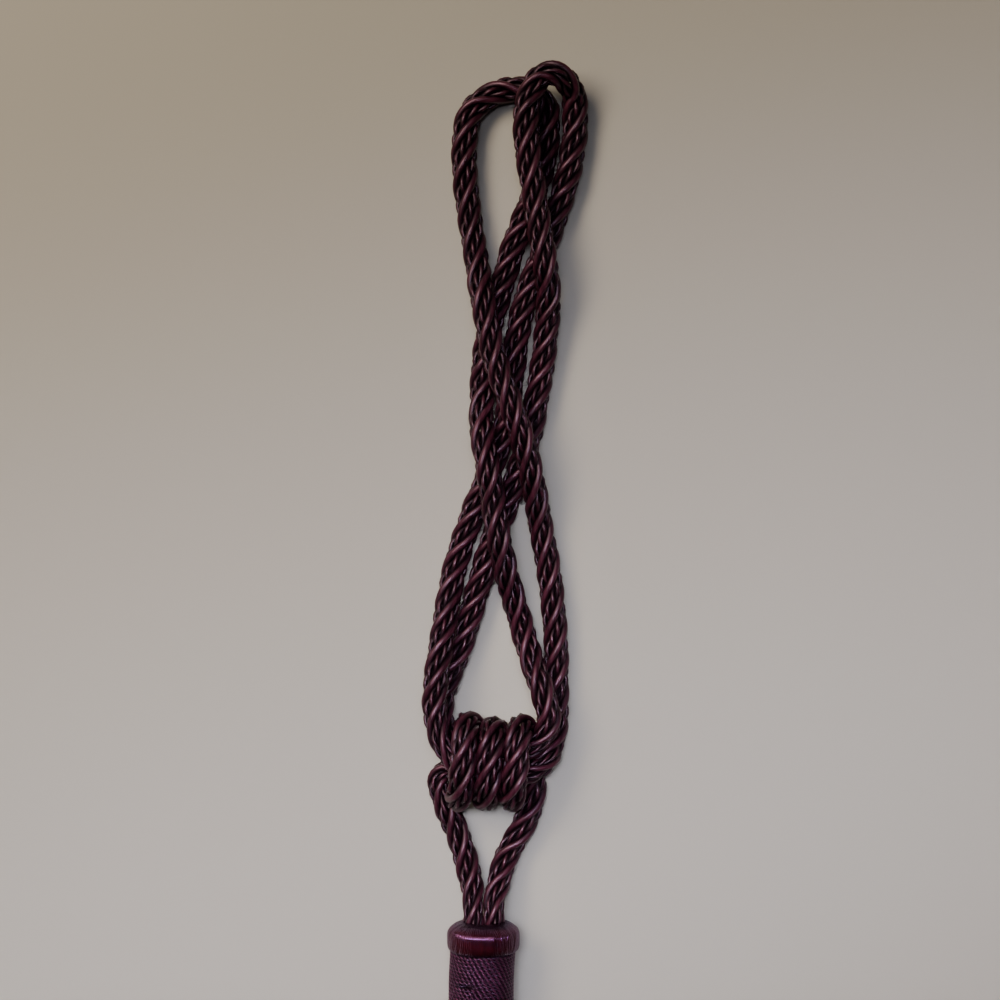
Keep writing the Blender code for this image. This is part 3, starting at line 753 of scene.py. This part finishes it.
class Nodes:
    """A new material's nodes. Each input is a plain value or the output of another node."""

    def __init__(self, name):
        self.material = bpy.data.materials.new(name)
        self.material.use_nodes = True
        self.tree = self.material.node_tree
        self.shader = self.tree.nodes["Principled BSDF"]

    def fill(self, node, inputs):
        for key, value in inputs.items():
            if isinstance(value, bpy.types.NodeSocket):
                self.tree.links.new(value, node.inputs[key])
            else:
                node.inputs[key].default_value = value
        return node

    def add(self, kind, inputs, **settings):
        node = self.tree.nodes.new(kind)
        for key, value in settings.items():
            setattr(node, key, value)
        return self.fill(node, inputs).outputs

    def attribute(self, name):
        return self.add("ShaderNodeAttribute", {}, attribute_name=name)

    def maths(self, operation, *values):
        return self.add("ShaderNodeMath", dict(enumerate(values)), operation=operation)["Value"]

    def noise(self, place, scale, detail):
        inputs = {"Vector": place, "Scale": scale, "Detail": detail}
        return self.add("ShaderNodeTexNoise", inputs)["Fac"]

    def stretch(self, value, low, high):
        """0 where the value is low and 1 where it is high."""
        inputs = {"Value": value, "From Min": low, "From Max": high}
        return self.add("ShaderNodeMapRange", inputs)["Result"]

    def between(self, share, low, high):
        inputs = {"Value": share, "To Min": low, "To Max": high}
        return self.add("ShaderNodeMapRange", inputs)["Result"]

    def mix(self, share, first, second):
        inputs = {"Factor": share, "A": first, "B": second}
        return self.add("ShaderNodeMix", inputs, data_type="RGBA")["Result"]


def yarn_material(name, painted_shade, dark, light, roughness, streaks, shine, gleam):
    """Satin yarn: fine fibres along it, a slightly different tone in each strand, painted shade in
    grooves.

    Of the three colours, the first is the painted shade in the grooves and on the flanks, and dark and
    light are the yarn's own; streaks is how fine the fibres are across the yarn, and gleam tints the
    shine."""
    yarn = Nodes(name)
    place = yarn.attribute("fibre")["Vector"]
    painted_light = yarn.attribute("painted_light")["Fac"]
    drawn_out = {"Vector": place, "Scale": (streaks, streaks, FIBRES_ALONG)}
    fibres = yarn.noise(yarn.add("ShaderNodeMapping", drawn_out)["Vector"], 1.0, FIBRE_DETAIL)
    on_object = yarn.add("ShaderNodeTexCoord", {})["Object"]
    patches = yarn.noise(on_object, PATCHES_PER_METRE, PATCH_DETAIL)

    axes = yarn.add("ShaderNodeSeparateXYZ", {"Vector": place})
    around = yarn.maths("ARCTAN2", axes["Y"], axes["X"])
    lead = yarn.maths("MULTIPLY", axes["Z"], 2 * math.pi / YARN_LEAD)
    ribs = yarn.maths("SINE", yarn.maths("MULTIPLY_ADD", around, -YARN_STARTS, lead))
    texture = yarn.maths("MULTIPLY_ADD", ribs, YARN_RIBS, fibres)

    shade = yarn.maths("MULTIPLY_ADD", yarn.attribute("tint")["Fac"], TINT_SHARE, texture)
    level = yarn.maths("MULTIPLY_ADD", patches, PATCH_SHARE, shade)
    colour = yarn.mix(yarn.stretch(level, *DARK_TO_LIGHT), (*dark, 1), (*light, 1))
    gloss = yarn.between(fibres, *(roughness + change for change in FIBRE_ROUGHNESS))
    raised = {"Strength": BUMP_STRENGTH, "Distance": BUMP_HEIGHT * MM, "Height": texture}
    # The base colour falls to the painted shade wherever the painted light is low.
    yarn.fill(yarn.shader, {
        "Base Color": yarn.mix(painted_light, (*painted_shade, 1), colour),
        "Roughness": yarn.between(painted_light, roughness + GROOVE_ROUGHNESS, gloss),
        "Specular IOR Level": shine,
        "Specular Tint": (*gleam, 1),
        "Normal": yarn.add("ShaderNodeBump", raised)["Normal"],
    })
    return yarn.material


def plain_material(name, colour, roughness):
    plain = Nodes(name)
    plain.fill(plain.shader, {"Base Color": (*colour, 1), "Roughness": roughness})
    return plain.material


# Camera, floor and light


def make_camera():
    """Straight above the floor, with the photograph's square field of view."""
    camera = bpy.data.cameras.new("camera")
    camera.sensor_width = SENSOR
    camera.lens = CAMERA_PLACE[2] / FLOOR_SEEN * SENSOR
    seen = bpy.data.objects.new("camera", camera)
    seen.location = [value * MM for value in CAMERA_PLACE]
    bpy.context.scene.collection.objects.link(seen)
    bpy.context.scene.camera = seen


def add_light(name, place, aim, size, power, colour, spread):
    """An oval area light of this many watts, whose beam spreads by this many degrees."""
    light = bpy.data.lights.new(name, "AREA")
    light.shape = "ELLIPSE"
    light.size, light.size_y = size
    light.energy = power
    light.color = colour
    light.spread = math.radians(spread)
    lamp = bpy.data.objects.new(name, light)
    lamp.location = place
    direction = np.array(place) - np.array(aim)
    lamp.rotation_euler = Vector(direction).to_track_quat("Z", "Y").to_euler()
    bpy.context.scene.collection.objects.link(lamp)


def make_stage():
    """A plain floor, a warm window high on the left, and a narrow cool lamp on the tassel's head."""
    bpy.ops.mesh.primitive_plane_add(size=FLOOR_SIZE, location=(0, 0, -FLOOR_DROP))
    floor = bpy.context.object
    floor.name = "floor"
    floor.data.materials.append(plain_material("floor_pale", FLOOR_COLOUR, FLOOR_ROUGHNESS))
    world = bpy.data.worlds.new("soft_room")
    bpy.context.scene.world = world
    world.use_nodes = True
    sky = world.node_tree.nodes["Background"]
    sky.inputs["Color"].default_value = (*ROOM_COLOUR, 1)
    sky.inputs["Strength"].default_value = ROOM_STRENGTH
    add_light(
        "window", place=(-0.9, 0.75, 1.3), aim=(0, 0.2, 0), size=(1.3, 0.7), power=27,
        colour=(1.0, 0.84, 0.64), spread=180,
    )
    add_light(
        "lamp", place=(-0.1, 0.25, 1.4), aim=(0, -0.12, 0), size=(1.2, 0.16), power=1.5,
        colour=(0.9, 0.88, 1.0), spread=34,
    )


# The whole scene

# The first colour of each material is its painted shade, for grooves and flanks.
ROPE_MATERIAL = yarn_material(
    "rope_satin", roughness=0.36, streaks=2.6, shine=0.55, gleam=(1.0, 0.66, 0.9),
    painted_shade=(0.002, 0.0001, 0.0008), dark=(0.012, 0.001, 0.0038), light=(0.082, 0.016, 0.034),
)
SATIN_MATERIAL = yarn_material(
    "collar_satin", roughness=0.2, streaks=2.2, shine=1.0, gleam=(0.9, 0.38, 1.0),
    painted_shade=(0.0012, 0.0001, 0.0004), dark=(0.01, 0.0006, 0.001), light=(0.038, 0.0028, 0.004),
)
WINDING_MATERIAL = yarn_material(
    "winding", roughness=0.3, streaks=1.4, shine=0.5, gleam=(0.95, 0.5, 1.0),
    painted_shade=(0.0015, 0.0002, 0.0006), dark=(0.014, 0.0016, 0.007), light=(0.19, 0.043, 0.12),
)
FRINGE_MATERIAL = yarn_material(
    "fringe_satin", roughness=0.42, streaks=3.0, shine=0.5, gleam=(1.0, 0.66, 0.9),
    painted_shade=(0.002, 0.0001, 0.0007), dark=(0.012, 0.001, 0.0035), light=(0.08, 0.016, 0.03),
)

make_camera()
loops_route, hanger_route = rope_routes()
embrace, embrace_line = make_rope(
    "embrace_strands", loops_route, loops_strand_size, LOOPS_TWIST, seed=3
)
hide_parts("embrace_rope")
hanger, hanger_line = make_rope(
    "hanger_strands", hanger_route, hanger_strand_size, HANGER_TWIST, seed=7
)
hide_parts("hanger_rope")
make_collar()
make_barrel()
make_fringe()
make_stage()
